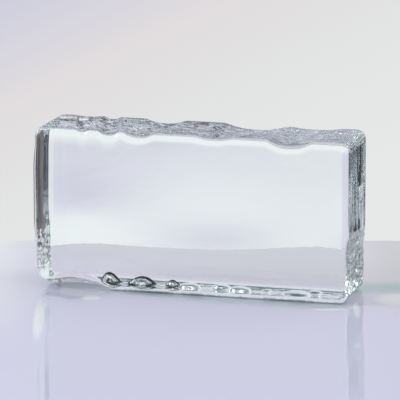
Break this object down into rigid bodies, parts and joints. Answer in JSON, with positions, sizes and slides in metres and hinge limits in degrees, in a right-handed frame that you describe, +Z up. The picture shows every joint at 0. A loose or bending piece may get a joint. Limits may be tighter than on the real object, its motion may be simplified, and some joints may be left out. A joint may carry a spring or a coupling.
{
  "type": "glass block",
  "caption": "Solid cast clear glass block with soft rounded edges, smooth faces and a rippled poured top.",
  "frame": {"origin": "middle of the underside, the long narrow side it stands on", "axes": "+X along the length, +Y through the thickness from the front face to the back face, +Z up"},
  "size_m": [0.2, 0.05, 0.1],
  "materials": {
    "glass": "clear cast glass, fire-polished faces, rippled top, faint grey-green tint"
  },
  "bodies": {
    "root": {"glass_block": "glass"}
  },
  "joints": []
}
